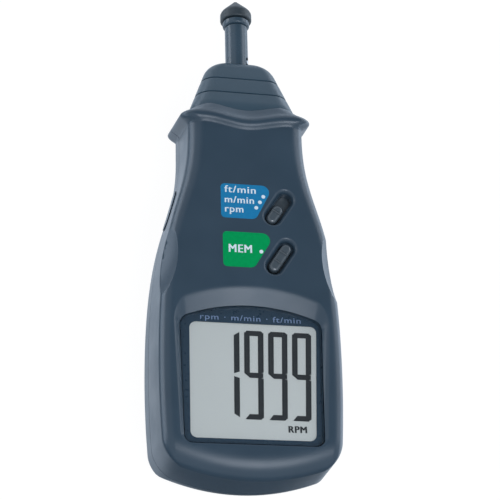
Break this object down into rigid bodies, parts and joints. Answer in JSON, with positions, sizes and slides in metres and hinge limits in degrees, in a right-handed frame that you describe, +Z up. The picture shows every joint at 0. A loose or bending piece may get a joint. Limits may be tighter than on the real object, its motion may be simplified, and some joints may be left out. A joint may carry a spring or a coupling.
{
  "type": "contact tachometer",
  "caption": "Hand-held contact tachometer: waisted plastic case with digital display, two face switches, side button, tapered nose and a driven spindle with a pull-off rubber cone tip.",
  "frame": {"origin": "centre of the footprint on the flat back that it lies on", "axes": "Z up out of the display face, Y along the spindle from the base end to the tip, X to the right seen from the front"},
  "size_m": [0.072, 0.2074, 0.037],
  "materials": {
    "case_plastic": "moulded dark slate blue plastic, satin",
    "key_plastic": "moulded dark grey plastic, polished",
    "adapter_plastic": "moulded slate blue plastic, smooth",
    "tip_rubber": "dark moulded rubber, matt",
    "lens_acrylic": "clear moulded window with a dark printed frame",
    "lcd_glass": "liquid-crystal panel, pale grey",
    "inner_plastic": "plain moulded plastic, matt",
    "board_laminate": "green printed circuit board",
    "steel": "plated steel, fine turned finish",
    "cell_jacket": "plain dark jacket on a steel can"
  },
  "bodies": {
    "case": {"front_cover": "case_plastic", "rear_cover": "case_plastic", "nose_cone": "case_plastic", "front_bearing_outer": "steel", "rear_bearing_outer": "steel", "bearing_spacer": "inner_plastic", "bearing_retainer": "inner_plastic", "optical_sensor": "key_plastic", "display_lens": "lens_acrylic", "lcd_panel": "lcd_glass", "display_holder": "inner_plastic", "contact_strip": "tip_rubber", "main_board": "board_laminate", "board_screw_1": "steel", "board_screw_2": "steel", "board_screw_3": "steel", "mode_switch": "inner_plastic", "memory_switch": "inner_plastic", "measure_switch": "inner_plastic", "case_screw_1": "steel", "case_screw_2": "steel", "case_screw_3": "steel", "case_screw_4": "steel", "battery_1": "cell_jacket", "battery_2": "cell_jacket", "battery_3": "cell_jacket", "battery_4": "cell_jacket", "positive_contact_1": "steel", "positive_contact_2": "steel", "positive_contact_3": "steel", "positive_contact_4": "steel", "negative_spring_1": "steel", "negative_spring_2": "steel", "negative_spring_3": "steel", "negative_spring_4": "steel"},
    "spindle_body": {"spindle": "steel", "drive_pin": "steel", "front_bearing_inner": "steel", "rear_bearing_inner": "steel", "spindle_collar": "steel", "encoder_disc": "inner_plastic"},
    "adapter": {"adapter_sleeve": "adapter_plastic", "adapter_collar": "adapter_plastic", "cone_tip": "tip_rubber"},
    "mode_key": {"mode_slider": "key_plastic"},
    "memory_key": {"memory_button": "key_plastic", "memory_plunger": "key_plastic"},
    "measure_key": {"measure_button": "key_plastic", "measure_plunger": "key_plastic"},
    "door": {"battery_door": "case_plastic"}
  },
  "joints": [
    {"name": "spindle_spin", "type": "hinge", "parent": "case", "child": "spindle_body", "pos_m": [0, 0.06, 0.018], "axis": [0, 1, 0], "continuous": true},
    {"name": "adapter_pull", "type": "slide", "parent": "spindle_body", "child": "adapter", "axis": [0, 1, 0], "range_m": [0, 0.016]},
    {"name": "mode_slide", "type": "slide", "parent": "case", "child": "mode_key", "axis": [0.5446, 0.8387, 0], "range_m": [0, 0.0058]},
    {"name": "memory_press", "type": "slide", "parent": "case", "child": "memory_key", "axis": [0, 0, -1], "range_m": [0, 0.0008], "stiffness_N_per_m": 1500, "springref_m": -0.0004},
    {"name": "measure_press", "type": "slide", "parent": "case", "child": "measure_key", "axis": [1, 0, 0], "range_m": [0, 0.001], "stiffness_N_per_m": 1500, "springref_m": -0.0004},
    {"name": "door_slide", "type": "slide", "parent": "case", "child": "door", "axis": [0, -1, 0], "range_m": [0, 0.06]}
  ]
}
